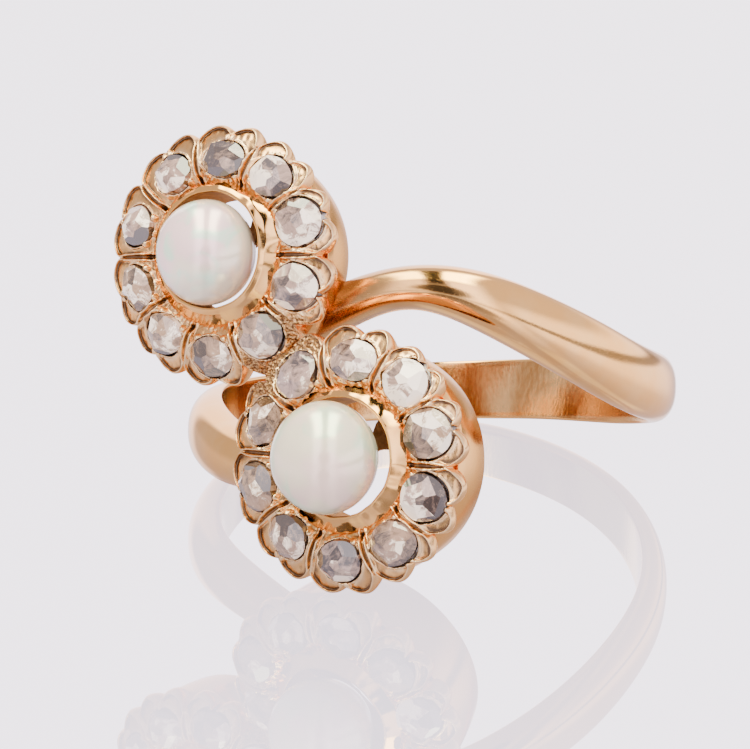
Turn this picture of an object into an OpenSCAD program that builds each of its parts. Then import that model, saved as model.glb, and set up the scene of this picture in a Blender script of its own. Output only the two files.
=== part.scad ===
// Toi et moi ring: a plain bypass shank that carries two round pearl and rose cut
// diamond clusters, lying on its side with the finger hole upward.
// The ring is drawn round its finger axis, Z, with the back of the shank at +Y and
// the two clusters facing -Y, and is then tipped to the way it rests on a table.

/* [Finger and shank] */
// Diameter of the finger hole
finger_d = 17.5; // [15:0.1:21]
// Width of the shank at its back
band_w = 2.6; // [2:0.1:3.4]
// Thickness of the shank at its back, at the middle of its width
band_t = 1.1; // [0.9:0.02:1.6]
// Fullness of the shank's rounded outside, 2 is a half ellipse
band_fullness = 2.3; // [2:0.1:3]

/* [Clusters] */
// Lean of the line through the centres of the two clusters, in degrees
cluster_lean = 51.9; // [48:0.1:56]
// Depth to which the tips of the two clusters are soldered into each other
cluster_join = 0.25; // [0.1:0.01:0.4]
// Height of the point midway between the clusters above the back of the shank
cluster_rise = 0.92; // [0.6:0.02:1.2]
// Height of the upper cluster's petal tips over the finger
upper_stand = 3.05; // [2.8:0.05:3.3]
// Height of the lower cluster's petal tips over the finger
lower_stand = 3.3; // [2.9:0.05:3.5]
// Radius of a cluster to the tips of its petals
petal_r = 4.98; // [4.9:0.02:5.1]
// Depth of the notches between the petal tips
notch_depth = 0.2; // [0.05:0.01:0.24]
// Slope of the petals from the collar down to their tips, in degrees
petal_slope = 18; // [10:1:24]
// Thickness of the petal plate
petal_t = 0.62; // [0.5:0.02:0.8]
// Thickness of the petals at their tips
petal_edge = 0.3; // [0.2:0.02:0.36]
// Reach of the petal tips past the top of the gallery wall
petal_overhang = 0.42; // [0.3:0.02:0.55]
// Drop from the petal tips to the top of the gallery wall
gallery_drop = 0.5; // [0.36:0.02:0.6]
// Radius of the upper gallery wall at the finger
upper_foot_r = 3.75; // [3.5:0.05:4.2]
// Radius of the lower gallery wall at the finger
lower_foot_r = 3.95; // [3.5:0.05:4.2]
// Distance between the gallery's foot and the finger
gallery_clear = 0.2; // [0.1:0.05:0.3]
// Thickness of the gallery wall
gallery_wall = 0.42; // [0.3:0.02:0.6]
// Width of the ridge between two stones
ridge_w = 0.24; // [0.16:0.02:0.3]
// Diameter of the grain at the tip of a petal
tip_grain_d = 0.26; // [0.2:0.02:0.32]
// Diameter of the grain between a stone and the collar
collar_grain_d = 0.28; // [0.2:0.02:0.32]

/* [Pearls] */
// Diameter of the upper pearl
upper_pearl_d = 3.82; // [3.4:0.02:4.1]
// Diameter of the lower pearl
lower_pearl_d = 4.16; // [3.6:0.02:4.26]
// Height of the upper pearl's centre over the petal tips
upper_pearl_rise = 1.25; // [1:0.05:2]
// Height of the lower pearl's centre over the petal tips
lower_pearl_rise = 1.9; // [1.2:0.05:2.2]
// Inside radius of the collar round a pearl
collar_r = 2.2; // [2.15:0.01:2.3]
// Thickness of the collar
collar_wall = 0.26; // [0.2:0.01:0.34]
// Height of the collar's rim over the petal tips
collar_rise = 0.95; // [0.9:0.05:1.2]
// Diameter of the peg in a pearl
peg_d = 0.7; // [0.5:0.05:0.9]
// Height to which the peg goes past a pearl's centre
peg_past = 0.3; // [0.1:0.05:0.6]
// Thickness of the bar across the back of a collar
bar_t = 0.42; // [0.3:0.02:0.5]
// Width of the bar across the back of a collar
bar_w = 0.5; // [0.4:0.05:0.8]

/* [Diamonds] */
// Metal left between a seat and the notch at the petal tips
seat_wall = 0.04; // [0.03:0.01:0.08]
// Room left between a seat and the collar, for a grain
seat_room = 0.36; // [0.3:0.02:0.44]
// Metal left between two seats
seat_rib = 0.1; // [0.06:0.02:0.16]
// Depth of the seat of a diamond
seat_depth = 0.32; // [0.28:0.02:0.4]
// Height of a rose cut diamond over its widest edge
rose_h = 0.62; // [0.4:0.02:0.8]
// Depth of a rose cut diamond under its widest edge
rose_base = 0.2; // [0.1:0.02:0.26]

/* [Fit] */
// Clearance round a stone in its seat
seat_gap = 0.03; // [0.02:0.01:0.06]
// Clearance round the peg in a pearl
peg_gap = 0.05; // [0.03:0.01:0.08]
// Clearance between a pearl and the bar under it
bar_gap = 0.08; // [0.05:0.01:0.15]

/* [Hidden] */
STONES = 10;
CLOSEST_STONES = 31.5;
UPPER_ROSES = [for (i = [0 : STONES - 1]) str("upper_diamond_", i)];
LOWER_ROSES = [for (i = [0 : STONES - 1]) str("lower_diamond_", i)];

finger_r = finger_d / 2;
cluster_gap = 2 * petal_r - cluster_join;
cluster_gap_x = cluster_gap * cos(cluster_lean);
cluster_gap_z = cluster_gap * sin(cluster_lean);
gallery_top_r = petal_r - petal_overhang;
collar_out = collar_r + collar_wall;
// The seats lie midway in the room between the collar and the notches, and are as
// wide as that room or as the closest two stones allow
seat_inner_r = collar_out + seat_room;
seat_outer_r = petal_r - notch_depth - seat_wall;
seat_circle_r = (seat_inner_r + seat_outer_r) / 2;
seat_d = min(
    seat_outer_r - seat_inner_r,
    2 * seat_circle_r * sin(CLOSEST_STONES / 2) - seat_rib
);
upper_centre = [-cluster_gap_x / 2, -finger_r - upper_stand, cluster_rise + cluster_gap_z / 2];
lower_centre = [cluster_gap_x / 2, -finger_r - lower_stand, cluster_rise - cluster_gap_z / 2];

// Route of the shank. Angle is from its back, positive toward the upper cluster's
// arm. Rise is a share of cluster_gap_z, width of band_w and thickness of band_t.
SHANK_ROUTE = [
    // angle, rise, width, thickness
    [-175, -0.40, 0.66, 1.26],
    [-168, -0.43, 0.74, 1.30],
    [-158, -0.425, 0.85, 1.31],
    [-148, -0.39, 0.95, 1.31],
    [-128, -0.275, 1.05, 1.25],
    [-108, -0.195, 1.07, 1.21],
    [-83, -0.13, 1.00, 1.17],
    [-58, -0.058, 0.93, 1.12],
    [-28, -0.016, 0.96, 1.07],
    [2, 0.005, 1.01, 1.02],
    [32, 0.00, 1.09, 0.97],
    [62, 0.015, 1.09, 0.99],
    [82, 0.03, 1.08, 1.07],
    [97, 0.08, 1.06, 1.14],
    [112, 0.19, 1.03, 1.22],
    [127, 0.315, 0.96, 1.28],
    [142, 0.445, 0.86, 1.32],
    [154, 0.50, 0.67, 1.32],
    [164, 0.485, 0.57, 1.31],
    [175, 0.38, 0.54, 1.28]
];

// Value in a column of a table at an angle, on a smooth curve through the rows
function smooth_step(p0, p1, p2, p3, t) =
    p1 + 0.5 * t * (p2 - p0 + t * (2 * p0 - 5 * p1 + 4 * p2 - p3 + t * (3 * (p1 - p2) + p3 - p0)));
function row_before(table, a, i = 0) =
    i >= len(table) - 2 || a < table[i + 1][0] ? i : row_before(table, a, i + 1);
function column_at(table, a, column) =
    let (
        i = row_before(table, a),
        last = len(table) - 1,
        t = (a - table[i][0]) / (table[i + 1][0] - table[i][0])
    )
    smooth_step(
        table[max(i - 1, 0)][column], table[i][column],
        table[i + 1][column], table[min(i + 2, last)][column], t
    );

// Unit vector along v
function unit(v) = v / norm(v);

SHANK_STEP = 5;
SHANK_SIDES = 14;
function route_point(a) =
    [finger_r * sin(a), finger_r * cos(a), column_at(SHANK_ROUTE, a, 1) * cluster_gap_z];

// One D shaped section of the shank, across its route, from edge to edge
function shank_section(a) =
    let (
        here = route_point(a),
        out = [sin(a), cos(a), 0],
        along = unit(route_point(a + SHANK_STEP / 10) - route_point(a - SHANK_STEP / 10)),
        across = unit(cross(along, out)),
        half_w = column_at(SHANK_ROUTE, a, 2) * band_w / 2,
        thick = column_at(SHANK_ROUTE, a, 3) * band_t,
        sink = 0.45 * band_t
    )
    concat(
        [for (k = [1 : SHANK_SIDES - 1])
            let (
                turn = 180 * k / SHANK_SIDES,
                power = 2 / band_fullness,
                u = sign(cos(turn)) * pow(abs(cos(turn)), power),
                v = pow(abs(sin(turn)), power)
            )
            here + across * u * half_w + out * (v * thick)],
        [here - across * half_w - out * sink, here + across * half_w - out * sink]
    );

// Solid skinned over closed rings of points with the same number in each
module skinned(rings) {
    n = len(rings[0]);
    m = len(rings);
    points = [for (ring = rings) each ring];
    sides = [
        for (j = [0 : m - 2], i = [0 : n - 1])
            let (
                a = j * n + i,
                b = j * n + (i + 1) % n
            )
            each [[a, b, b + n], [a, b + n, a + n]]
    ];
    first_cap = [for (i = [n - 1 : -1 : 0]) i];
    last_cap = [for (i = [0 : n - 1]) (m - 1) * n + i];
    polyhedron(points, concat(sides, [first_cap, last_cap]));
}

module shank() {
    first = SHANK_ROUTE[0][0];
    last = SHANK_ROUTE[len(SHANK_ROUTE) - 1][0];
    steps = ceil((last - first) / SHANK_STEP);
    difference() {
        skinned([for (j = [0 : steps]) shank_section(first + (last - first) * j / steps)]);
        cylinder(r = finger_r, h = 4 * cluster_gap_z, center = true, $fn = 120);
    }
}

// Where a cluster stands: its own Z leaves the finger, X runs along the ring's X
// and Y along the finger
module on_cluster(centre) {
    translate(centre) rotate([90, 0, 0]) children();
}

// Height of the petals' upper face at a radius from the cluster's middle
function petal_height(r) = (petal_r - r) * tan(petal_slope);

// Collar, petal plate and gallery wall turned as one profile
module cluster_cup(stand, foot_r, collar_foot) {
    foot = gallery_clear - stand;
    inside_r = gallery_top_r - gallery_wall;
    rotate_extrude($fn = 96) polygon([
        [collar_r, collar_rise],
        [collar_out, collar_rise],
        [collar_out + 0.2 * collar_wall, petal_height(collar_out + 0.2 * collar_wall)],
        [petal_r, 0],
        [petal_r, -petal_edge],
        [gallery_top_r, -gallery_drop],
        [foot_r, foot],
        [foot_r - gallery_wall, foot],
        [inside_r, petal_height(inside_r) - petal_t],
        [collar_out, petal_height(collar_out) - petal_t],
        [collar_out, collar_foot],
        [collar_r, collar_foot]
    ]);
}

// Moves its children to the face of the petals at an angle and a radius
module on_petal(turn, r) {
    rotate([0, 0, turn]) translate([r, 0, petal_height(r)]) rotate([0, petal_slope, 0]) children();
}

// Where the stones of a cluster sit and how they are cut, from the top and round to
// the right. Turn is round the cluster, reach a share of the circle of seats, across
// and along shares of the seat, and facets how far the facets are turned.
UPPER_STONES = [
    // turn, reach, across, along, facets
    [86, 1.00, 0.92, 0.98, 10],
    [52, 1.005, 0.95, 1.00, 25],
    [20.5, 1.005, 0.98, 0.94, 5],
    [-15.5, 1.00, 0.96, 1.00, 18],
    [-53, 0.98, 1.00, 0.95, 40],
    [-89, 1.00, 0.98, 0.98, 12],
    [-126, 1.00, 0.95, 0.97, 33],
    [-160, 0.98, 0.93, 1.00, 22],
    [161.5, 0.99, 0.96, 0.94, 48],
    [124.5, 0.98, 0.94, 0.98, 15]
];
LOWER_STONES = [
    // turn, reach, across, along, facets
    [85, 1.00, 0.96, 0.94, 35],
    [50, 1.005, 0.98, 0.94, 12],
    [17.5, 1.00, 0.98, 1.00, 28],
    [-18.5, 1.00, 0.98, 0.98, 8],
    [-52.5, 1.00, 0.96, 0.96, 44],
    [-89, 0.985, 0.94, 0.98, 20],
    [-125, 0.985, 0.94, 0.96, 38],
    [-160.5, 1.00, 0.94, 1.00, 16],
    [160.5, 0.98, 0.92, 0.98, 30],
    [125, 0.98, 1.00, 0.96, 5]
];
function turn_after(stones, i) = i < STONES - 1 ? stones[i + 1][0] : stones[0][0];
function turn_between(stones, i) =
    let (step = (stones[i][0] - turn_after(stones, i) + 360) % 360)
    stones[i][0] - step / 2;

// Outline of the petals: two tips for each stone, with a notch at the stone's middle
// and one between two stones
TIP_POINTS = 5;
function lobe_outline(stones) = [
    for (i = [0 : STONES - 1], side = [0, 1], k = [0 : TIP_POINTS - 1])
        let (
            from = side == 0 ? stones[i][0] : turn_between(stones, i),
            to = side == 0 ? turn_between(stones, i) : turn_after(stones, i),
            span = (from - to + 360) % 360,
            turn = from - span * k / TIP_POINTS,
            bulge = sin(180 * k / TIP_POINTS),
            r = petal_r - notch_depth * (1 - sqrt(bulge))
        )
        [r * cos(turn), r * sin(turn)]
];

module cluster(centre, stand, foot_r, pearl_d, pearl_rise, stones) {
    bar_top = pearl_rise - pearl_d / 2 - bar_gap;
    plate_under = petal_height(collar_out) - petal_t;
    collar_foot = min(bar_top - 1.25 * bar_t, plate_under - 0.3 * collar_wall);
    ridge_from = collar_out - 0.4 * collar_wall;
    ridge_to = petal_r - 1.25 * notch_depth;
    bar_turn = 16;
    on_cluster(centre) {
        difference() {
            intersection() {
                cluster_cup(stand, foot_r, collar_foot);
                translate([0, 0, -2 * stand])
                    linear_extrude(4 * stand) polygon(lobe_outline(stones));
            }
            for (stone = stones)
                on_petal(stone[0], seat_circle_r * stone[1])
                    translate([0, 0, -seat_depth]) cylinder(d = seat_d, h = seat_d, $fn = 48);
        }
        for (i = [0 : STONES - 1]) {
            // ridge between two stones
            on_petal(turn_between(stones, i), ridge_from)
                rotate([0, 90, 0])
                    cylinder(d = ridge_w, h = (ridge_to - ridge_from) / cos(petal_slope), $fn = 16);
            // grains at the tip and at the collar side of a stone
            seat_r = seat_circle_r * stones[i][1];
            on_petal(stones[i][0], seat_r + seat_d / 2 + 0.3 * tip_grain_d)
                rotate([0, 0, 50]) sphere(d = tip_grain_d, $fn = 16);
            on_petal(stones[i][0], seat_r - seat_d / 2 - 0.4 * collar_grain_d)
                rotate([0, 0, 50]) sphere(d = collar_grain_d, $fn = 16);
        }
        // bar across the back of the collar, and the pearl's peg on it
        rotate([0, 0, bar_turn])
            translate([0, 0, bar_top - bar_t / 2])
                cube([2 * collar_r + collar_wall, bar_w, bar_t], center = true);
        translate([0, 0, bar_top - bar_t / 2])
            cylinder(d = peg_d, h = pearl_rise + peg_past - bar_top + bar_t / 2, $fn = 32);
    }
}

module gold_mount() {
    color([0.86, 0.6, 0.42]) {
        shank();
        cluster(upper_centre, upper_stand, upper_foot_r, upper_pearl_d, upper_pearl_rise, UPPER_STONES);
        cluster(lower_centre, lower_stand, lower_foot_r, lower_pearl_d, lower_pearl_rise, LOWER_STONES);
    }
}

module pearl(centre, d, rise) {
    color([0.93, 0.9, 0.85])
        on_cluster(centre) translate([0, 0, rise]) difference() {
            sphere(d = d, $fn = 96);
            translate([0, 0, -d]) cylinder(d = peg_d + 2 * peg_gap, h = d + peg_past + peg_gap, $fn = 32);
        }
}

// Points of one level of a stone, on an oval that is turned
function ring_of(n, rx, ry, z, turn) = [
    for (k = [0 : n - 1])
        let (a = 360 * k / n)
        [rx * cos(a) * cos(turn) - ry * sin(a) * sin(turn),
         rx * cos(a) * sin(turn) + ry * sin(a) * cos(turn), z]
];

// A rose cut diamond: flat base, twelve sided girdle, six kites and a table
module rose(centre, stone) {
    r = seat_d / 2 - seat_gap;
    rx = r * stone[3];
    ry = r * stone[2];
    facets = stone[4];
    girdle_sides = 12;
    crown_sides = girdle_sides / 2;
    points = concat(
        ring_of(girdle_sides, rx * 0.94, ry * 0.94, -rose_base, facets),
        ring_of(girdle_sides, rx, ry, 0, facets),
        ring_of(crown_sides, rx * 0.62, ry * 0.62, rose_h * 0.66, facets),
        ring_of(crown_sides, rx * 0.24, ry * 0.24, rose_h, facets)
    );
    girdle = girdle_sides;
    crown = 2 * girdle_sides;
    table = crown + crown_sides;
    faces = concat(
        [[for (k = [0 : girdle_sides - 1]) k]],
        [for (k = [0 : girdle_sides - 1])
            let (k2 = (k + 1) % girdle_sides)
            [k, girdle + k, girdle + k2, k2]],
        [for (c = [0 : crown_sides - 1])
            let (
                k = 2 * c,
                k1 = k + 1,
                k2 = (k + 2) % girdle_sides,
                c2 = (c + 1) % crown_sides
            )
            each [
                [girdle + k, crown + c, girdle + k1],
                [girdle + k1, crown + c, crown + c2],
                [girdle + k1, crown + c2, girdle + k2],
                [crown + c, table + c, table + c2, crown + c2]
            ]],
        [[for (c = [crown_sides - 1 : -1 : 0]) table + c]]
    );
    color([0.82, 0.8, 0.79])
        on_cluster(centre) on_petal(stone[0], seat_circle_r * stone[1])
            translate([0, 0, rose_base + 2 * seat_gap - seat_depth]) polyhedron(points, faces);
}

// The way the ring rests on a table: on a petal of its lower cluster and on two
// places of the shank's edge, with the upper cluster lifted
rest_pitch = -15.4;
rest_roll = -8.2;
function tipped_z(p) =
    cos(rest_roll) * (p[1] * sin(rest_pitch) + p[2] * cos(rest_pitch)) - sin(rest_roll) * p[0];
lean = -cos(rest_roll) * sin(rest_pitch);
rest_height = petal_r * sqrt(1 - lean * lean) + petal_edge * lean - tipped_z(lower_centre);
// Reach of the ring from the middle of its hole to the lower pearl and to its back
front_reach = lower_pearl_d / 2 - lower_centre[2] * sin(-rest_pitch)
    + (lower_pearl_rise - lower_centre[1]) * cos(rest_pitch);
back_reach = (finger_r + band_t) * cos(rest_pitch) + 0.04 * band_w;
module at_rest() {
    translate([0, (front_reach - back_reach) / 2, rest_height])
        rotate([rest_pitch, rest_roll, 0]) children();
}

at_rest() gold_mount();
at_rest() pearl(upper_centre, upper_pearl_d, upper_pearl_rise);  // upper_pearl
at_rest() pearl(lower_centre, lower_pearl_d, lower_pearl_rise);  // lower_pearl
for (i = [0 : STONES - 1]) {
    at_rest() rose(upper_centre, UPPER_STONES[i]);
    at_rest() rose(lower_centre, LOWER_STONES[i]);
}
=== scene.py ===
"""Toi et moi ring: rose gold bypass shank with two daisy clusters of rose cut
diamonds round a pearl, lying on its side on a pale glossy table.

Lengths are in millimetres in the ring's own frame, which is drawn round the finger
axis, Z, and are turned to the row frame, in metres, as each piece is made.
"""
import math

import bmesh
import bpy
import numpy as np
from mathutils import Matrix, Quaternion, Vector


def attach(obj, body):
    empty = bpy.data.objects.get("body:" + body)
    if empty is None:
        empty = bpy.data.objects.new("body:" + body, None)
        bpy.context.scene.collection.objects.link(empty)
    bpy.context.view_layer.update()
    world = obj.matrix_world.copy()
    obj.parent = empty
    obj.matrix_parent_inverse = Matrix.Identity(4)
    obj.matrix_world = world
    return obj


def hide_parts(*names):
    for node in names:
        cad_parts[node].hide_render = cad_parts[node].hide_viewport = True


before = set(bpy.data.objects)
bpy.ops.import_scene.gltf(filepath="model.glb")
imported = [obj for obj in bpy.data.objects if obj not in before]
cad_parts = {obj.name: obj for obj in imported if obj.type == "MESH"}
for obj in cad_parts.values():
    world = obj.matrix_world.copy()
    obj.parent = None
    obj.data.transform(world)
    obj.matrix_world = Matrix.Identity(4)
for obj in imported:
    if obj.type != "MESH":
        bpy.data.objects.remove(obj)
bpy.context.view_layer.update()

MM = 0.001
TURN = 2 * math.pi

# Sizes shared with the frame
FINGER_R = 8.75
BAND_W = 2.6
BAND_T = 1.1
PETAL_R = 4.98
CLUSTER_LEAN = math.radians(51.9)
CLUSTER_GAP = 2 * PETAL_R - 0.25
CLUSTER_GAP_X = CLUSTER_GAP * math.cos(CLUSTER_LEAN)
CLUSTER_GAP_Z = CLUSTER_GAP * math.sin(CLUSTER_LEAN)
CLUSTER_RISE = 0.92
STONE_R = 3.82
STONE_TILT = math.radians(15)
COLLAR_R = 2.2
COLLAR_WALL = 0.26
WELL_R = 2.75
STONES = 10

# How the ring rests on the table
REST_PITCH = math.radians(-15.4)
REST_ROLL = math.radians(-8.2)
REST_SHIFT = (0.0, 3.3495, 4.057)


def turned_to_table():
    cx, sx = math.cos(REST_PITCH), math.sin(REST_PITCH)
    cy, sy = math.cos(REST_ROLL), math.sin(REST_ROLL)
    pitch = np.array([[1, 0, 0], [0, cx, -sx], [0, sx, cx]])
    roll = np.array([[cy, 0, sy], [0, 1, 0], [-sy, 0, cy]])
    return roll @ pitch


RING_TO_TABLE = turned_to_table()


def on_table(points):
    """Points of the ring's own frame, in mm, as points of the row frame, in metres."""
    return (np.asarray(points) @ RING_TO_TABLE.T + REST_SHIFT) * MM


# Stones of a cluster from its top, clockwise: turn and radius of the middle, half
# sizes across and along the petal, turn of the facets, height of the crown, the side
# that its painted bright facets lie to, and how light its painted reflection is
UPPER_STONES = [
    # turn, radius, across, along, facets, height, glint, light
    [84, 3.68, 0.93, 0.76, 10, 0.60, 70, 0.36],
    [50, 3.86, 0.90, 0.82, 25, 0.62, 130, 0.50],
    [18.5, 3.92, 0.98, 0.91, 5, 0.60, -45, 0.50],
    [-18.5, 3.82, 0.93, 0.92, 18, 0.66, -80, 0.55],
    [-54, 3.76, 0.92, 0.92, 40, 0.64, -120, 0.42],
    [-90, 3.90, 0.92, 0.84, 12, 0.60, 30, 0.30],
    [-125.5, 3.74, 0.92, 0.82, 33, 0.58, 0, 0.60],
    [-159.5, 3.66, 0.93, 0.76, 22, 0.62, -90, 0.52],
    [162, 3.70, 0.84, 0.78, 48, 0.60, 90, 0.46],
    [121.5, 3.66, 0.84, 0.80, 15, 0.64, -100, 0.52],
]
LOWER_STONES = [
    # turn, radius, across, along, facets, height, glint, light
    [82.5, 3.74, 1.00, 0.83, 35, 0.60, 40, 0.53],
    [47.5, 3.96, 0.95, 0.90, 12, 0.64, 20, 0.78],
    [16, 3.82, 0.98, 0.94, 28, 0.60, 45, 0.62],
    [-20, 3.80, 0.94, 0.90, 8, 0.62, -140, 0.45],
    [-52, 3.82, 0.93, 0.89, 44, 0.60, 100, 0.40],
    [-88.5, 3.76, 0.91, 0.85, 20, 0.62, -60, 0.42],
    [-126, 3.66, 0.91, 0.84, 38, 0.66, -120, 0.38],
    [-163, 3.78, 0.96, 0.88, 16, 0.60, -60, 0.36],
    [158, 3.62, 0.96, 0.86, 30, 0.62, -120, 0.52],
    [122.5, 3.70, 0.98, 0.88, 5, 0.58, -60, 0.22],
]


class Cluster:
    """One daisy cluster: where it stands, what is set in it, and how it was worked.

    pearl: its diameter, the height of its middle, and its shares across and up.
    heights: over the plane of the cluster's middle, of the petals' tips, the brow under
    the stones, the well round the collar, and the collar's rim.
    seeds: of the unevenness of the collar, the pearl, the petals and the stones.
    join_turn and bar_turn: where it meets the other cluster, and the bar's direction.
    collar_shift: how far the collar's top lies off the middle, toward the cluster's top.
    tarnish: the painted shade on the gallery's upper part. flared: whether the collar's skirt spreads."""

    def __init__(self, name, side, stand, foot_r, pearl, heights, stones, seeds,
                 join_turn, bar_turn, collar_shift, tarnish, flared):
        self.name = name
        self.centre = np.array([
            -side * CLUSTER_GAP_X / 2,
            -FINGER_R - stand,
            CLUSTER_RISE + side * CLUSTER_GAP_Z / 2,
        ])
        self.stand = stand
        self.foot_r = foot_r
        self.pearl_d, self.pearl_rise, self.pearl_wide, self.pearl_tall = pearl
        self.tip, self.brow, self.well, self.rim = heights
        self.stones = stones
        self.collar_seed, self.pearl_seed, self.petal_seed, self.stone_seed = seeds
        self.join_turn = math.radians(join_turn)
        self.bar_turn = math.radians(bar_turn)
        self.collar_shift = collar_shift
        self.tarnish = tarnish
        self.flared = flared

    def place(self, points):
        """Points over the cluster's face, Z outward, as points of the row frame."""
        x, y, z = np.asarray(points).T
        return on_table(np.stack([x, -z, y], 1) + self.centre)

    def dome(self, r):
        """Height of the petals' plain surface: tilted under the stones and falling away
        to the tips and to the collar."""
        past = np.asarray(r) - STONE_R
        fall = math.tan(STONE_TILT)
        out, back = PETAL_R - STONE_R, WELL_R - STONE_R
        to_tip = (self.brow - fall * out - self.tip) / out ** 2
        to_well = (self.brow - fall * back - self.well) / back ** 2
        return self.brow - fall * past - np.where(past > 0, to_tip, to_well) * past ** 2


UPPER = Cluster(
    "upper", side=1, stand=3.05, foot_r=3.95, stones=UPPER_STONES,
    pearl=(3.82, 1.2, 1.0, 1.06), heights=(0.0, 0.70, 0.58, 1.08), seeds=(5, 3, 20, 0),
    join_turn=-51.9, bar_turn=41, collar_shift=0.18, tarnish=0.5, flared=True,
)
LOWER = Cluster(
    "lower", side=-1, stand=3.3, foot_r=4.07, stones=LOWER_STONES,
    pearl=(4.16, 1.9, 0.96, 1.015), heights=(0.15, 0.77, 0.60, 1.0), seeds=(9, 4, 50, 100),
    join_turn=128.1, bar_turn=36, collar_shift=0.11, tarnish=0.2, flared=False,
)
CLUSTERS = (UPPER, LOWER)


# Shader maths


class Val:
    """A shader socket or number that is worked with as a Python value."""

    tree = None

    def __init__(self, socket):
        self.socket = socket

    @staticmethod
    def node(kind, settings=None, **inputs):
        """Any node: its settings first, then values or links of its sockets, which are
        named, or counted as i0, i1 and so on."""
        made = Val.tree.nodes.new(kind)
        for key, value in (settings or {}).items():
            setattr(made, key, value)
        for key, value in inputs.items():
            counted = key[0] == "i" and key[1:].isdigit()
            Val.feed(made.inputs[int(key[1:]) if counted else key.replace("_", " ")], value)
        return made

    @staticmethod
    def feed(socket, value):
        if isinstance(value, Val):
            value = value.socket
        if isinstance(value, bpy.types.NodeSocket):
            Val.tree.links.new(value, socket)
        elif isinstance(value, tuple) and len(value) == 3 and socket.type == "RGBA":
            socket.default_value = (*value, 1)
        else:
            socket.default_value = value

    @staticmethod
    def maths(operation, *values):
        made = Val.tree.nodes.new("ShaderNodeMath")
        made.operation = operation
        for socket, value in zip(made.inputs, values):
            Val.feed(socket, value)
        return Val(made.outputs[0])

    def __add__(self, other):
        return Val.maths("ADD", self, other)

    def __sub__(self, other):
        return Val.maths("SUBTRACT", self, other)

    def __mul__(self, other):
        return Val.maths("MULTIPLY", self, other)

    def __pow__(self, other):
        return Val.maths("POWER", self, other)

    def __rsub__(self, other):
        return Val.maths("SUBTRACT", other, self)

    __radd__ = __add__
    __rmul__ = __mul__

    def abs(self):
        return Val.maths("ABSOLUTE", self)

    def between(self, low, high):
        """0 at low, 1 at high and smooth between them."""
        made = Val.node("ShaderNodeMapRange", {"interpolation_type": "SMOOTHSTEP"},
                        Value=self, From_Min=low, From_Max=high)
        return Val(made.outputs[0])


def blended(mask, first, second):
    """The first colour where the mask is 0 and the second where it is 1."""
    made = Val.node("ShaderNodeMix", {"data_type": "RGBA"})
    for name, value in (("Factor_Float", mask), ("A_Color", first), ("B_Color", second)):
        Val.feed(next(s for s in made.inputs if s.identifier == name), value)
    return Val(next(s for s in made.outputs if s.identifier == "Result_Color"))


def along(place, direction):
    """How far a place lies in a direction."""
    made = Val.node("ShaderNodeVectorMath", {"operation": "DOT_PRODUCT"}, i0=place, i1=direction)
    return Val(made.outputs["Value"])


def camera_ray():
    """1 for what the camera sees itself, and 0 for what is lit or mirrored."""
    return Val(Val.node("ShaderNodeLightPath").outputs["Is Camera Ray"])


def object_place(stretch=(1, 1, 1)):
    """Object coordinates, stretched along each axis."""
    here = Val.node("ShaderNodeTexCoord").outputs["Object"]
    made = Val.node("ShaderNodeVectorMath", {"operation": "MULTIPLY"}, i0=here, i1=stretch)
    return Val(made.outputs[0])


def grain(scale, detail=3, roughness=0.5, stretch=(1, 1, 1), distortion=0.0):
    """Soft noise from 0 to 1 with features about 1 / scale metres across."""
    made = Val.node("ShaderNodeTexNoise", Vector=object_place(stretch), Scale=scale,
                    Detail=detail, Roughness=roughness, Distortion=distortion)
    return Val(made.outputs["Fac"])


def painted(name):
    """A value that the mesh carries at each of its points or faces."""
    return Val(Val.node("ShaderNodeAttribute", {"attribute_name": name}).outputs["Fac"])


def bumped(height, distance, strength=1.0):
    made = Val.node("ShaderNodeBump", Height=height, Distance=distance, Strength=strength)
    return Val(made.outputs["Normal"])


def node_tree_of(owner):
    """Turns a material's or world's nodes on and works on them from here."""
    owner.use_nodes = True
    Val.tree = owner.node_tree
    return Val.tree


def finish(name, **inputs):
    """Starts a material, and returns the call that fills its surface shader."""
    material = bpy.data.materials.new(name)
    shader = node_tree_of(material).nodes["Principled BSDF"]

    def fill(**more):
        for key, value in more.items():
            Val.feed(shader.inputs[key.replace("_", " ")], value)
        return material

    fill(**inputs)
    return fill


# Colours of polished gold, of the painted shade on it, and of what it mirrors at a glancing angle
GOLD = (0.94, 0.49, 0.15)
GOLD_PALE = (0.95, 0.53, 0.19)
GOLD_PAINTED_SHADE = (0.36, 0.19, 0.085)
EDGE_PALE = (1.0, 0.93, 0.88)
EDGE_GOLD = (1.0, 0.76, 0.52)
# Of brushed gold, in its patches of painted shade and of painted highlight
BRUSHED_PAINTED_SHADE = (0.44, 0.17, 0.035)
BRUSHED_PAINTED_HIGHLIGHT = (1.0, 0.66, 0.29)
# Of the petals: two casts of the metal, painted highlight on the raised edges, painted
# shade in the hollows, granular solder, and the foil that the stones lie on
PETAL_DEEP = (0.80, 0.42, 0.15)
PETAL_PALE = (0.93, 0.53, 0.21)
PETAL_PAINTED_HIGHLIGHT = (0.98, 0.67, 0.36)
PETAL_PAINTED_SHADE = (0.2, 0.125, 0.075)
SOLDER_DARK = (0.14, 0.07, 0.035)
SOLDER_LIGHT = (0.82, 0.48, 0.22)
FOIL = (0.4, 0.36, 0.35)
# Of the unpolished inside of the collars, darkened as painted shade
HOLLOW_SHADED_DARK = (0.22, 0.09, 0.03)
HOLLOW_SHADED_LIGHT = (0.42, 0.2, 0.08)
# Of the pearls: body, rose overtone and green overtone
WHITE_NACRE = (0.87, 0.75, 0.6), (0.95, 0.66, 0.66), (0.64, 0.84, 0.66)
CREAM_NACRE = (0.87, 0.76, 0.56), (0.93, 0.69, 0.6), (0.7, 0.82, 0.58)
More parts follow.
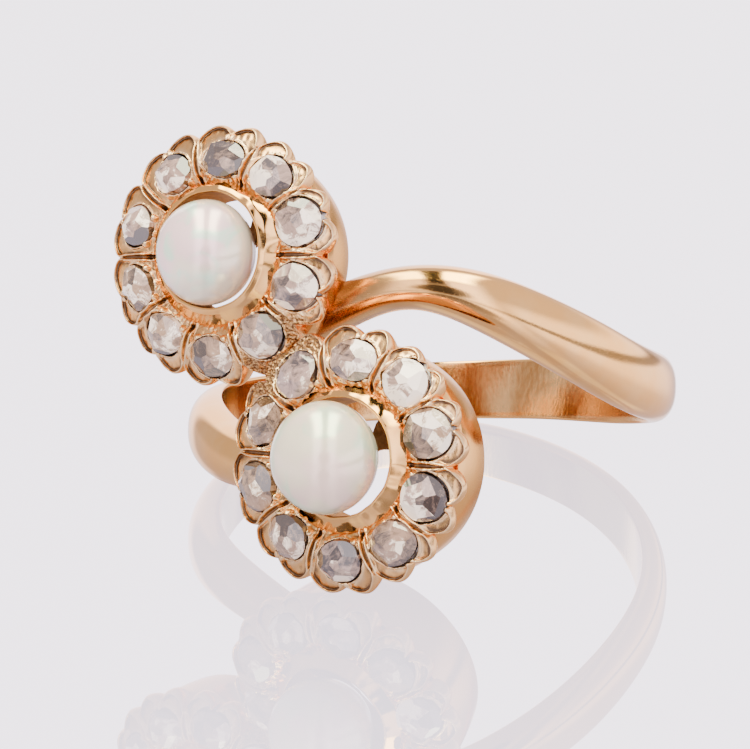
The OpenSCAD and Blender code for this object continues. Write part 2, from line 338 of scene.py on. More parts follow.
# Of the diamonds, as painted reflection: dark facets and veiled ones, each in a grey and
# a brown cast, and the white of a painted flash
DEEP_GREY = (0.035, 0.022, 0.02)
DEEP_BROWN = (0.045, 0.025, 0.014)
VEIL_GREY = (0.36, 0.228, 0.19)
VEIL_BROWN = (0.36, 0.215, 0.13)
PAINTED_FLASH = (1.0, 0.83, 0.7)


def polished_gold(name, edge):
    """Rose gold with a hand polish: faint haze, hairlines and soft waves, and painted shade, with a duller
    polish, where the mesh carries it.
    """
    fill = finish(name, Metallic=1.0, Specular_Tint=edge)
    haze = grain(900, 4)
    hairlines = grain(2600, 2, 0.6, (1, 6, 6))
    waves = grain(350, 2)
    clean = blended(haze.between(0.35, 0.7), GOLD, GOLD_PALE)
    scratched = 0.08 * hairlines.between(0.55, 0.7)
    return fill(
        # Painted shade: the colour darkens, and the polish dulls, where the mesh carries it
        Base_Color=blended(painted("tarnish"), clean, GOLD_PAINTED_SHADE),
        Roughness=0.05 + 0.05 * haze + scratched + 0.2 * painted("tarnish"),
        Normal=bumped(waves + 0.3 * hairlines, 0.00001, 0.35),
    )


def brushed_gold():
    """The inside of the shank, brushed across its width, with random patches of painted shade and painted
    highlight.
    """
    fill = finish("brushed_gold", Metallic=1.0)
    strokes = grain(1500, 3, 0.6, (5, 5, 0.35))
    worn = grain(300, 2, 0.4, (1, 1, 0.2))
    streaks = worn + 0.12 * (strokes - 0.5)
    return fill(
        # Random patches of painted shade and painted highlight; the same noise also bumps the surface
        Base_Color=blended(streaks.between(0.40, 0.58), BRUSHED_PAINTED_SHADE, BRUSHED_PAINTED_HIGHLIGHT),
        Roughness=0.1 + 0.12 * strokes,
        Normal=bumped(0.5 * strokes + 2.0 * worn, 0.00003, 0.5),
    )


def engraved_gold():
    """Petals cut and burnished by hand: painted highlight on the raised edges, painted shade in the
    hollows, and rough solder.
    """
    fill = finish("engraved_gold", Metallic=1.0, Specular_Tint=EDGE_GOLD)
    hollow_shade = painted("pit")
    rough = painted("rough")
    cuts = grain(4200, 3, 0.55)
    grit = grain(11000, 3, 0.7)
    patina = grain(900, 4, 0.6)
    plain = blended(patina.between(0.35, 0.65), PETAL_DEEP, PETAL_PALE)
    # Painted highlight on the raised edges, and painted shade in the hollows
    bright = blended(painted("worn"), plain, PETAL_PAINTED_HIGHLIGHT)
    warm = blended(hollow_shade.between(0.05, 0.6), bright, PETAL_PAINTED_SHADE)
    solder = blended(grit.between(0.4, 0.6), SOLDER_DARK, SOLDER_LIGHT)
    metal = blended(rough.between(0.3, 0.8), warm, solder)
    return fill(
        Base_Color=blended(painted("foil"), metal, FOIL),
        Roughness=0.13 + 0.12 * cuts + 0.2 * hollow_shade + 0.15 * rough,
        Normal=bumped(cuts + 1.5 * rough * grit, 0.00002, 0.5),
    )


def hollow_gold():
    """The unpolished inside of the collars and the bars under the pearls, with its colour darkened as
    painted shade.
    """
    fill = finish("hollow_gold", Metallic=1.0, Specular_Tint=EDGE_GOLD)
    strokes = grain(2600, 3, 0.6)
    return fill(
        Base_Color=blended(strokes.between(0.3, 0.7), HOLLOW_SHADED_DARK, HOLLOW_SHADED_LIGHT),
        Roughness=0.42 + 0.16 * strokes,
        Normal=bumped(strokes, 0.00002, 0.4),
    )


def pearl_skin(name, body, rose_tone, green_tone):
    """Nacre: a cream body with rose and green overtones, and layers that mirror softly."""
    fill = finish(name, Coat_Weight=0.7, Coat_Roughness=0.04, Coat_IOR=1.7, IOR=1.65)
    clouds = grain(380, 2, 0.5)
    drift = grain(620, 2, 0.5, distortion=1.0)
    tint = blended(clouds.between(0.44, 0.58), body, rose_tone)
    return fill(
        Base_Color=blended(drift.between(0.5, 0.7), tint, green_tone),
        Metallic=0.32 + 0.08 * drift,
        Roughness=0.17 + 0.1 * clouds,
        Normal=bumped(grain(5000, 2), 0.000004, 0.3),
    )


def diamond_glass():
    """Old diamond: each facet painted dark or bright as painted reflection, and clouds."""
    fill = finish("old_diamond", IOR=1.9, Transmission_Weight=0.04, Coat_Weight=0.4,
                  Coat_IOR=2.0, Coat_Roughness=0.02)
    warmth = painted("warmth")
    clouds = grain(1500, 6, 0.75, distortion=0.7)
    # Painted reflection of each facet, broken up by the clouds
    shade = painted("tone") + 2.3 * (clouds - 0.5)
    veil = blended(warmth, VEIL_GREY, VEIL_BROWN)
    deep = blended(warmth, DEEP_GREY, DEEP_BROWN)
    veiled = blended(shade.between(0.05, 0.62), deep, veil)
    return fill(
        Base_Color=blended(shade.between(0.64, 0.88), veiled, PAINTED_FLASH),
        Roughness=0.02 + 0.1 * clouds.between(0.55, 0.8),
    )


# Pieces and what they share


def in_scene(name, data):
    made = bpy.data.objects.new(name, data)
    bpy.context.scene.collection.objects.link(made)
    return made


def piece(name, points, faces, materials, node, slot, smooth=True, painted_on=None, second=None):
    """A mesh in the row frame that rides with the ring and stands for a CAD node. It
    carries painted values by point or by face; second marks the faces that take the
    second material."""
    mesh = bpy.data.meshes.new(name)
    mesh.from_pydata(np.asarray(points).tolist(), [], [list(map(int, f)) for f in faces])
    mesh.polygons.foreach_set("use_smooth", [smooth] * len(mesh.polygons))
    for material in materials:
        mesh.materials.append(material)
    if second is not None:
        mesh.polygons.foreach_set("material_index", np.asarray(second, np.int32))
    for key, values in (painted_on or {}).items():
        layer = mesh.attributes.new(key, "FLOAT", "FACE" if len(values) == len(faces) else "POINT")
        layer.data.foreach_set("value", np.asarray(values, np.float32))
    mesh.update()
    made = in_scene(name, mesh)
    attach(made, "root")
    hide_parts(node)
    return made


def grid_faces(rows, columns, rows_close=False):
    """Quads over rows of points whose columns close on themselves."""
    row = np.arange(rows if rows_close else rows - 1)
    r, c = np.meshgrid(row, np.arange(columns), indexing="ij")
    r2, c2 = (r + 1) % rows, (c + 1) % columns
    corners = (r, c), (r, c2), (r2, c2), (r2, c)
    return np.stack([a * columns + b for a, b in corners], -1).reshape(-1, 4)


def capped_faces(rows, columns, flipped=False):
    """Quads over rows of points, and one face that closes each end."""
    faces = grid_faces(rows, columns).tolist()
    last = (rows - 1) * columns
    faces.append(list(range(columns))[::-1])
    faces.append(list(range(last, last + columns)))
    return [f[::-1] for f in faces] if flipped else faces


def bell(reach):
    """Weights that ease a value over so many neighbours on each side."""
    weights = np.exp(-0.5 * (np.arange(-3 * reach, 3 * reach + 1) / reach) ** 2)
    return weights / weights.sum()


def eased(line, reach, **ends):
    """A line of values eased over so many neighbours; ends say what lies past it."""
    return np.convolve(np.pad(line, 3 * reach, **ends), bell(reach), mode="valid")


def step(low, high, x):
    """0 at low, 1 at high and smooth between them."""
    t = np.clip((x - low) / (high - low), 0, 1)
    return t * t * (3 - 2 * t)


def ridge(distance, width):
    """1 at no distance, falling like a bell."""
    return np.exp(-(distance / width) ** 2)


def bead(distance, r, rise):
    """Height of a burnished grain at a distance from its middle."""
    return rise * np.sqrt(np.clip(1 - (distance / r) ** 2, 0, 1))


def wobble(x, y, size, seed, waves=10):
    """Smooth hand-made unevenness from about -1 to 1, with features of that size."""
    draw = np.random.default_rng(seed)
    total = np.zeros(np.broadcast(x, y).shape)
    for _ in range(waves):
        way, phase = draw.uniform(0, TURN, 2)
        pitch = TURN / size * draw.uniform(0.5, 1.2)
        total += np.sin((x * math.cos(way) + y * math.sin(way)) * pitch + phase)
    return total / math.sqrt(waves)


def swung(x, y, angle):
    """A place, or places, turned about the middle."""
    c, s = math.cos(angle), math.sin(angle)
    return x * c - y * s, x * s + y * c


def spun(r, turn, z):
    """Points from their radius, turn and height."""
    return np.stack([r * np.cos(turn), r * np.sin(turn), z], -1).reshape(-1, 3)


def rounded_path(corners, points=7):
    """A closed path through corners, each given as two places and its own rounding."""
    path = []
    corners = np.asarray(corners, float)
    places = corners[:, :2]
    for k, radius in enumerate(corners[:, 2]):
        here = places[k]
        back = places[k - 1] - here
        ahead = places[(k + 1) % len(places)] - here
        reach = min(radius, 0.45 * np.linalg.norm(back), 0.45 * np.linalg.norm(ahead))
        a = here + back / np.linalg.norm(back) * reach
        b = here + ahead / np.linalg.norm(ahead) * reach
        for t in np.linspace(0, 1, points):
            path.append((1 - t) ** 2 * a + 2 * t * (1 - t) * here + t * t * b)
    return np.array(path)


# Shank. Rise is a share of the clusters' distance, width and thickness of the band's
SHANK_ROUTE = np.array([
    # angle, rise, width, thickness
    [-175, -0.40, 0.66, 1.26],
    [-168, -0.43, 0.74, 1.30],
    [-158, -0.425, 0.85, 1.31],
    [-148, -0.39, 0.95, 1.31],
    [-128, -0.275, 1.05, 1.25],
    [-108, -0.195, 1.07, 1.21],
    [-83, -0.13, 1.00, 1.17],
    [-58, -0.058, 0.93, 1.12],
    [-28, -0.016, 0.96, 1.07],
    [2, 0.005, 1.01, 1.02],
    [32, 0.00, 1.09, 0.97],
    [62, 0.015, 1.09, 0.99],
    [82, 0.03, 1.08, 1.07],
    [97, 0.08, 1.06, 1.14],
    [112, 0.19, 1.03, 1.22],
    [127, 0.315, 0.96, 1.28],
    [142, 0.445, 0.86, 1.32],
    [154, 0.50, 0.67, 1.32],
    [164, 0.485, 0.60, 1.31],
    [175, 0.385, 0.68, 1.28],
    [186, 0.275, 0.70, 1.22],
])
SHANK_STEPS = 500
ROUTE_EASE = 9
DOME_POINTS = 40
EDGE_POINTS = 4
FLAT_POINTS = 10
EDGE_R = 0.11
FULLNESS = 2.3
# Painted shade, with a duller polish, toward both roots, over these angles
ROOT_PAINTED_SHADE = 0.85
ROOTS = ((146, 176), (-163, -174))


def shank_section(half_w, thick):
    """The way round a D section, across and out: its dome, then an edge, the flat
    inside and the other edge."""
    turn = np.linspace(0, math.pi, DOME_POINTS + 1)
    u = np.sign(np.cos(turn)) * np.abs(np.cos(turn)) ** (2 / FULLNESS)
    v = np.abs(np.sin(turn)) ** (2 / FULLNESS)
    dome = np.stack([u * half_w, EDGE_R + v * (thick - EDGE_R)], 1)
    bend = np.linspace(0, math.pi / 2, EDGE_POINTS + 1)[1:]
    left = np.stack([-half_w + EDGE_R - EDGE_R * np.cos(bend), EDGE_R - EDGE_R * np.sin(bend)], 1)
    across = np.linspace(-half_w + EDGE_R, half_w - EDGE_R, FLAT_POINTS + 2)[1:-1]
    flat = np.stack([across, np.zeros_like(across)], 1)
    right = left[::-1] * (-1, 1)
    return np.concatenate([dome, left, flat, right])


def shank(polished, brushed):
    """The band, swept along its route round the finger, with both arms' roots."""
    table = SHANK_ROUTE
    angle = np.linspace(table[0, 0], table[-1, 0], SHANK_STEPS)
    rise, width, thickness = (
        eased(np.interp(angle, table[:, 0], column), ROUTE_EASE, mode="reflect", reflect_type="odd")
        for column in table[:, 1:].T
    )
    z = rise * CLUSTER_GAP_Z
    half_w = width * BAND_W / 2
    thick = thickness * BAND_T
    way = np.radians(angle) * FINGER_R
    ds, dz = np.gradient(way), np.gradient(z)
    length = np.hypot(ds, dz)
    points = []
    for k in range(SHANK_STEPS):
        across, out = shank_section(half_w[k], thick[k]).T
        turn = (way[k] - across * dz[k] / length[k]) / FINGER_R
        height = z[k] + across * ds[k] / length[k]
        r = FINGER_R + out
        points.append(np.stack([r * np.sin(turn), r * np.cos(turn), height], 1))
    count = len(points[0])
    faces = capped_faces(SHANK_STEPS, count, flipped=True)
    inside = [DOME_POINTS + EDGE_POINTS <= f[0] % count < count - EDGE_POINTS for f in faces]
    # Painted shade toward the roots, where the arms meet the clusters
    tarnish = ROOT_PAINTED_SHADE * sum(step(start, end, angle) for start, end in ROOTS)
    return piece("shank", on_table(np.concatenate(points)), faces, [polished, brushed],
                 "gold_mount", "rose_gold", painted_on={"tarnish": np.repeat(tarnish, count)},
                 second=inside)


# Galleries, collars, bars and pearls


def turned(name, profile, cluster, materials, columns, uneven=None, inner_r=0, tarnish=0):
    """A closed profile of radius and height turned round the cluster's middle. What
    lies within inner_r takes the second material; the painted shade on it is even or given row by row."""
    turn = np.linspace(0, TURN, columns, endpoint=False)
    r, t = np.meshgrid(profile[:, 0], turn, indexing="ij")
    z = np.repeat(profile[:, 1:2], columns, 1)
    if uneven is not None:
        r, z = uneven(r, z, t)
    faces = grid_faces(len(profile), columns, rows_close=True)
    painted_shade_rows = np.repeat(tarnish + 0 * profile[:, 0], columns)
    reach = np.repeat(profile[:, 0], columns)[faces].max(1)
    return piece(name, cluster.place(spun(r, t, z)), faces, materials, "gold_mount", "rose_gold",
                 painted_on={"tarnish": painted_shade_rows}, second=reach < inner_r)


GALLERY_COLUMNS = 288
GALLERY_R = 4.56
GALLERY_BELLY = 0.1
GALLERY_WALL = 0.42
FOOT_PAINTED_SHADE = 0.75


def gallery(cluster, polished):
    """The tapered cup behind the petals, a little bellied, with a soft foot."""
    foot = 0.2 - cluster.stand
    top = cluster.tip - 0.45
    belly = []
    for t in np.linspace(0.1, 0.85, 10):
        bulge = GALLERY_BELLY * math.sin(math.pi * t)
        r = GALLERY_R + (cluster.foot_r - GALLERY_R) * t + bulge
        belly.append((r, top + (foot - top) * t, 0.3))
    profile = rounded_path([
        # radius, height, rounding
        (4.5, top + 0.15, 0.05),
        *belly,
        (cluster.foot_r, foot, 0.16),
        (cluster.foot_r - GALLERY_WALL, foot, 0.12),
        (4.1, top - 0.05, 0.1),
    ])
    # Painted shade, deepening from the gallery's top toward its foot
    down = step(top - 0.2, foot, profile[:, 1])
    tarnish = cluster.tarnish + (FOOT_PAINTED_SHADE - cluster.tarnish) * down
    return turned(cluster.name + "_gallery", profile, cluster, [polished], GALLERY_COLUMNS,
                  tarnish=tarnish)


COLLAR_COLUMNS = 360
COLLAR_FOOT = -1.2
SKIRT_CORNERS = 6


def collar(cluster, polished, hollow):
    """The tube round the pearl, with a burnished rim and a skirt down to the petals."""
    out = COLLAR_R + COLLAR_WALL
    rim, well = cluster.rim, cluster.well
    rim_edge = np.array([out + 0.01, rim - 0.12])
    skirt_foot = np.array([WELL_R + 0.03, well + 0.02])
    skirt = [rim_edge + (skirt_foot - rim_edge) * t for t in np.linspace(0.14, 0.86, SKIRT_CORNERS)]
    profile = rounded_path([
        # radius, height, rounding
        (COLLAR_R, COLLAR_FOOT, 0.05),
        (COLLAR_R, rim - 0.1, 0.08),
        (COLLAR_R + 0.04, rim, 0.02),
        (COLLAR_R + 0.12, rim, 0.03),
        (*rim_edge, 0.03),
        *((*corner, 0.02) for corner in skirt),
        (*skirt_foot, 0.05),
        (WELL_R + 0.03, well - 0.35, 0.05),
        (out, COLLAR_FOOT, 0.05),
    ])
    seed = cluster.collar_seed

    def uneven(r, z, t):
        """Leaned toward the cluster's top, with a rim worked by hand; the flared one's
        skirt is dented on its upper side and reaches further to the right."""
        x, y = np.cos(t) * COLLAR_R, np.sin(t) * COLLAR_R
        r = r + cluster.collar_shift * np.sin(t) * step(well - 0.3, rim - 0.1, z)
        top = step(rim - 0.65, rim - 0.05, z)
        dents = 0.012 * wobble(x, y, 0.7, seed + 2)
        if cluster.flared:
            down = np.clip((r - out) / (WELL_R - out), 0, 1)
            down = down * step(0.0, 0.25, t) * step(3.0, 2.5, t)
            z = z + 0.009 * down * wobble(r * np.cos(t), r * np.sin(t), 0.45, seed + 3)
            r = r + down * np.clip(0.6 * np.cos(t) - 0.29, 0, 0.24)
        r = r + top * (0.02 * wobble(x, y, 2.2, seed) + dents)
        z = z + top * (0.02 * wobble(x, y, 1.5, seed + 1) + dents)
        return r, z

    return turned(cluster.name + "_collar", profile, cluster, [polished, hollow],
                  COLLAR_COLUMNS, uneven, inner_r=COLLAR_R + 0.03)


BAR_W = 0.5
BAR_T = 0.42
BAR_ROUNDING = 0.1
BAR_STATIONS = 25
PEG_R = 0.35
PEG_SIDES = 32


def pearl_mount(cluster, hollow):
    """The bar across the back of the collar, splayed at its ends, and the pearl's peg."""
    top = cluster.pearl_rise - cluster.pearl_d / 2 - 0.08
    low = top - BAR_T
    half_w, half_l = BAR_W / 2, COLLAR_R + 0.1
    corners = (-half_w, low), (half_w, low), (half_w, top), (-half_w, top)
    path = rounded_path([(*corner, BAR_ROUNDING) for corner in corners], 5)
    points = []
    for x in np.linspace(-half_l, half_l, BAR_STATIONS):
        splay = 1 + 1.6 * step(0.9, 1.7, abs(x))
        points += [(*swung(x, across * splay, cluster.bar_turn), z) for across, z in path]
    faces = capped_faces(BAR_STATIONS, len(path))
    base = len(points)
    for z in (low + 0.1, cluster.pearl_rise + 0.3):
        for turn in (TURN * k / PEG_SIDES for k in range(PEG_SIDES)):
            points.append((PEG_R * math.cos(turn), PEG_R * math.sin(turn), z))
    faces += [[base + i for i in f] for f in capped_faces(2, PEG_SIDES)]
    return piece(cluster.name + "_pearl_bar", cluster.place(points), faces, [hollow],
                 "gold_mount", "rose_gold")


PEARL_ROWS = 96
PEARL_COLUMNS = 144
PEARL_LIFT = 0.07
DRILLED = 0.18


def pearl(cluster, skin, slot):
    """A round pearl, a hair out of true, drilled over its peg."""
    tip = np.linspace(0.02, math.pi - DRILLED, PEARL_ROWS)
    round_it = np.linspace(0, TURN, PEARL_COLUMNS, endpoint=False)
    t, u = np.meshgrid(tip, round_it, indexing="ij")
    x = np.sin(t) * np.cos(u)
    y = np.sin(t) * np.sin(u)
    z = np.cos(t)
    out_of_true = 0.004 * wobble(x * 2 + z, y * 2, 2.5, cluster.pearl_seed)
    r = cluster.pearl_d / 2 * (1 + out_of_true)
    points = np.stack([
        x * r * cluster.pearl_wide,
        y * r * cluster.pearl_tall + PEARL_LIFT,
        z * r * cluster.pearl_wide + cluster.pearl_rise,
    ], -1).reshape(-1, 3)
    return piece(cluster.name + "_pearl_skin", cluster.place(points),
                 capped_faces(PEARL_ROWS, PEARL_COLUMNS, flipped=True), [skin],
                 cluster.name + "_pearl", slot)


# Petals
PETAL_COLUMNS = 1040
PETAL_ROWS = 76
TIP_ROWS = 10
CELL_NOTCH = 0.62
TIP_NOTCH = 0.36
PLATE_T = 0.46
PLATE_INNER_R = COLLAR_R + COLLAR_WALL + 0.1
# How far inside the outline the face ends and the rounded tips begin
TIP_INSET = 0.06
# Carving, as height or depth and width
WALL = (0.17, 0.08)
GROOVE = (0.16, 0.05)
SCOOP_DEPTH = 0.16
SCOOP_CUTS = 6.5
BURNISHED = (0.05, 0.035)
CELL_PIT = (0.22, 0.13)
SEAT_DEPTH = 0.34
# Prong at a stone's outer side, as radius and height
PRONG = (0.13, 0.24)
# Beads at its inner side: where round it, in degrees, and radius
BEADS = ((-34, 0.16), (4, 0.13), (37, 0.15))
BEAD_RISE = 0.2
# Where the well round the collar ends, and the middle of the pits behind its ridges
WELL_END = (2.85, 3.15)
PIT_R = 2.95
# Granular solder where the clusters meet: how far from the middle, and its reach
SOLDER_R = 4.75
SOLDER_REACH = (1.0, 1.75)


def cells(cluster, turn):
    """For each turn round the cluster: its stone, how far the turn is from that stone's,
    and its place across the stone's cell from -1 to 1."""
    middles = np.radians([row[0] for row in cluster.stones])
    away = (turn[:, None] - middles + math.pi) % TURN - math.pi
    nearest = np.abs(away).argmin(1)
    offset = np.take_along_axis(away, nearest[:, None], 1)[:, 0]
    beside = np.where(offset > 0, (nearest - 1) % STONES, (nearest + 1) % STONES)
    gap = np.abs((middles[beside] - middles[nearest] + math.pi) % TURN - math.pi)
    return nearest, offset, offset / (gap / 2)


def petal_edge(share):
    """Radius of the outline at a place across a cell: two lobes and a notch each side."""
    lobe = np.abs(np.sin(math.pi * share)) ** 0.85
    notch = TIP_NOTCH + (CELL_NOTCH - TIP_NOTCH) * step(0.3, 0.7, np.abs(share))
    return PETAL_R + 0.07 - notch * (1 - lobe)


def relief(cluster, r, turn, found):
    """Height of the carving over the petals' plain surface, and how rough and how much
    foil each point is. Rows of points run outward, columns round the cluster."""
    nearest, offset, share = found
    stone_r, half_across, half_along = np.array(cluster.stones)[nearest, 1:4].T
    seed = cluster.petal_seed
    x, y = r * np.cos(turn), r * np.sin(turn)
    hand = wobble(x, y, 0.9, seed)
    fine = wobble(x, y, 0.28, seed + 1)

    # Distances along and across the petal from the stone's middle, and from its girdle
    dx = (r * np.cos(offset) - stone_r) / math.cos(STONE_TILT)
    dy = r * np.sin(offset)
    rho = np.sqrt((dx / half_along) ** 2 + (dy / half_across) ** 2)
    from_stone = (rho - 1) * (half_along + half_across) / 2

    # Distances from the next cell, from the outline, and from both with a soft corner
    half_cell = np.abs(np.sin(offset) / np.maximum(np.abs(share), 1e-6))
    side_gap = r * half_cell * (1 - np.abs(share))
    edge_gap = petal_edge(share) - r
    soft = 0.12
    mix = np.clip(0.5 + 0.5 * (edge_gap - side_gap) / soft, 0, 1)
    gap = edge_gap * (1 - mix) + side_gap * mix - soft * mix * (1 - mix)

    # A raised wall along the cell's border, and the groove between two cells
    wall_at = 0.07 + 0.05 * step(0.2, 0.6, edge_gap) + 0.012 * hand
    height = WALL[0] * ridge(gap - wall_at, WALL[1])
    height -= GROOVE[0] * ridge(np.maximum(gap, 0), GROOVE[1]) * step(0.05, 0.3, edge_gap)

    # The hollow between wall and stone, in cuts of the graver, and the burnished rim
    in_wall = np.maximum(gap - wall_at, 0)
    in_stone = np.maximum(from_stone - 0.06, 0)
    width = in_wall + in_stone + 1e-6
    scoop = 4 * in_wall * in_stone / width ** 2 * step(0.05, 0.32, width)
    cut = (share * SCOOP_CUTS + 0.35 * hand) % 1 - 0.5
    height += scoop * (0.035 * cut - SCOOP_DEPTH)
    height += BURNISHED[0] * ridge(from_stone - 0.06, BURNISHED[1]) * (1 + 0.6 * fine)

    # The forked prong at the stone's outer side, and the beads at its inner one
    prong = np.hypot((dx - half_along - 0.1) / 1.6, np.abs(dy) - 0.12)
    height = np.maximum(height, bead(prong, *PRONG) - 0.02)
    for bend, size in BEADS:
        place = math.radians(bend)
        back = dx + half_along * 1.07 * math.cos(place)
        aside = dy - half_across * 1.07 * math.sin(place)
        height = np.maximum(height, bead(np.hypot(back, aside), size, BEAD_RISE) - 0.03)

    # The well round the collar, with crumbs of metal in it, and a pit behind each ridge
    well = 1 - step(*WELL_END, r)
    crumbs = np.abs(wobble(x, y, 0.3, seed + 4))
    height = height * (1 - 0.5 * well) + well * (0.025 * crumbs - 0.03)
    height -= CELL_PIT[0] * ridge(side_gap, CELL_PIT[1]) * ridge(r - PIT_R, CELL_PIT[1])

    # Lumps of solder where the clusters meet
    aside = r * np.sin(turn - cluster.join_turn)
    away = np.hypot(r * np.cos(turn - cluster.join_turn) - SOLDER_R, aside * 0.8)
    rough = (1 - step(*SOLDER_REACH, away)) * step(0.02, 0.12, from_stone)
    lumps = np.abs(wobble(x, y, 0.22, seed + 2)) + 0.7 * np.abs(wobble(x, y, 0.1, seed + 3))
    height = height * (1 - 0.6 * rough) + rough * (0.09 * lumps - 0.05)
    height += 0.014 * hand + 0.008 * fine

    # The seat under the stone, lined with foil
    seat = 1 - step(-0.04, 0.0, from_stone)
    height = height * (1 - seat) - SEAT_DEPTH * seat
    return height, rough, 1 - step(-0.16, -0.06, from_stone)


def petals(cluster, engraved):
    """The carved plate: its face, its rounded tips and its underside, as one skin."""
    turn = np.linspace(0, TURN, PETAL_COLUMNS, endpoint=False)
    found = cells(cluster, turn)
    edge = petal_edge(found[2])
    t = np.linspace(0, 1, PETAL_ROWS)[:, None]
    face_r = PLATE_INNER_R + (edge - TIP_INSET - PLATE_INNER_R) * t
    carved, rough, foil = relief(cluster, face_r, turn, found)
    face_z = cluster.dome(face_r) + carved
    around = np.array([eased(line, 6, mode="wrap") for line in carved])
    mean = np.array([eased(line, 5, mode="edge") for line in around.T]).T
    # Painted shade where the carving lies under its surroundings, painted highlight where it stands over
    # them
    dark = np.clip((mean - carved) / 0.09, 0, 1)
    worn = np.clip((carved - mean) / 0.07, 0, 1)

    t = np.linspace(0, 1, TIP_ROWS + 1)[1:, None]
    tip_r = edge - TIP_INSET + 0.08 * np.sin(math.pi * t) * (1 - 0.3 * t) - 0.1 * t * t
    tip_z = face_z[-1] * (1 - t) + (cluster.tip - PLATE_T) * t
    below_r = np.array([4.4, 4.2, PLATE_INNER_R])[:, None] + 0 * turn
    depths = cluster.tip - 0.5, cluster.tip - 0.42, cluster.well - 0.5
    below_z = np.array(depths)[:, None] + 0 * turn
    r = np.concatenate([face_r, tip_r, below_r])
    z = np.concatenate([face_z, tip_z, below_z])

    def over_all(on_face, on_tips, under):
        """Values of the whole skin, from those of its face and one for each other part."""
        return np.concatenate([on_face, on_tips + 0 * tip_r, under + 0 * below_r]).ravel()

    return piece(
        cluster.name + "_petals", cluster.place(spun(r, turn, z)),
        grid_faces(len(r), PETAL_COLUMNS, rows_close=True), [engraved], "gold_mount", "rose_gold",
        painted_on={
            # The tips take a little painted shade and painted highlight, the underside more painted shade
            "pit": over_all(dark, 0.1, 0.4),
            "worn": over_all(worn, 0.3, 0),
            "rough": over_all(rough, 0, 0),
            "foil": over_all(foil, 0, 0),
        },
    )


# Stones
GIRDLE_POINTS = 30
GIRDLE_DEPTH = 0.22
STONE_SINK = 0.02
SETTING_GAP = 0.03
# Rings of facets: how many, their reach and height as shares, and their tilt
FACET_RINGS = ((6, 0.89, 0.14, 43), (5, 0.45, 0.55, 23), (1, 0.1, 0.68, 4))


def rose(cluster, i, glass):
    """One rose cut: an uneven girdle, six and five facets round it, and a small table."""
    turn, radius, across, along_petal, facets, crown, glint, light = cluster.stones[i]
    draw = np.random.default_rng(cluster.stone_seed + i)
    across, along_petal = across - SETTING_GAP, along_petal - SETTING_GAP
    work = bmesh.new()
    bends = draw.uniform(0, TURN, 2)
    for k in range(GIRDLE_POINTS):
        a = TURN * k / GIRDLE_POINTS
        share = 1 + 0.025 * math.sin(2 * a + bends[0]) + 0.025 * math.sin(3 * a + bends[1])
        for z in (-GIRDLE_DEPTH, crown):
            work.verts.new((share * along_petal * math.cos(a), share * across * math.sin(a), z))
    bmesh.ops.convex_hull(work, input=work.verts)

    for count, reach_share, height_share, tilt in FACET_RINGS:
        for k in range(count):
            a = math.radians(facets) + TURN * (k + draw.uniform(-0.22, 0.22)) / count
            lean = math.radians(tilt + draw.uniform(-6, 6))
            reach = reach_share * (1 + draw.uniform(-0.07, 0.07))
            x, y = reach * along_petal * math.cos(a), reach * across * math.sin(a)
            made = bmesh.ops.bisect_plane(
                work, geom=work.verts[:] + work.edges[:] + work.faces[:], clear_outer=True,
                plane_co=(x, y, height_share * crown),
                plane_no=(math.sin(lean) * math.cos(a), math.sin(lean) * math.sin(a), math.cos(lean)),
            )
            rim = [e for e in made["geom_cut"] if isinstance(e, bmesh.types.BMEdge)]
            bmesh.ops.holes_fill(work, edges=rim)
    bmesh.ops.dissolve_limit(work, angle_limit=0.01, verts=work.verts, edges=work.edges)
    bmesh.ops.recalc_face_normals(work, faces=work.faces)
    work.verts.index_update()
    faces = [[v.index for v in f.verts] for f in work.faces]

    # Painted reflection of each facet: lighter toward the glint, with painted shade on the steep side
    # facets
    bright = math.radians(glint - turn)
    tone = []
    for face in work.faces:
        lean = face.normal.x * math.cos(bright) + face.normal.y * math.sin(bright)
        wall = 0.0 if face.normal.z > 0.2 else 0.3
        tone.append(light - wall + 0.35 * lean + 0.4 * draw.uniform(-1, 1))
    x, y, z = np.array([v.co[:] for v in work.verts]).T
    work.free()
    x, z = swung(x, z - STONE_SINK, -STONE_TILT)
    x, y = swung(x + radius, y, math.radians(turn))
    placed = cluster.place(np.stack([x, y, z + cluster.dome(radius)], 1))
    warmth = [draw.uniform(0, 1)] * len(faces)
    return piece(f"{cluster.name}_rose_{i}", placed, faces, [glass],
                 f"{cluster.name}_diamond_{i}", "diamond", smooth=False,
                 painted_on={"tone": tone, "warmth": warmth})


# Table, light and camera
CAMERA_AT = Vector((57.113, -106.935, 42.142))
CAMERA_TO = Vector((-9.169, 15.005, 0.069))
CAMERA_ROLL = 1.004
LENS = 151.55
FILL_AT = Vector((-20, -220, 190))
FILL_POWER = 1.25
TABLE_HALF = 1.5


def camera():
    data = bpy.data.cameras.new("camera")
    data.lens = LENS
    data.sensor_width = 36
    data.clip_start, data.clip_end = 0.005, 20
    made = in_scene("camera", data)
    made.location = CAMERA_AT * MM
    look = (CAMERA_TO - CAMERA_AT).normalized()
    made.rotation_mode = "QUATERNION"
    made.rotation_quaternion = Quaternion(look, math.radians(-CAMERA_ROLL)) @ look.to_track_quat("-Z", "Y")
    bpy.context.scene.camera = made


# Directions of the light tent in the row frame: to the right, to the front, and to the
# opening in front that the picture is taken through
TENT_RIGHT = (0.878, 0.478, 0.0)
TENT_FRONT = (0.478, -0.878, 0.0)
TENT_MOUTH = (0.457, -0.839, 0.29)
# How bright things are: what the camera sees behind the ring, and the table's own
# light near the ring, dimmed there as painted shade, and far from it
BACKGROUND = 3.7
GLOW_SHADED_NEAR = 0.85
GLOW_FAR = 2.1
TABLE_TINT = (1, 0.885, 1.045)
TENT_TINT = (1, 0.92, 1.0)
LAMP_TINT = (1, 0.99, 0.72)


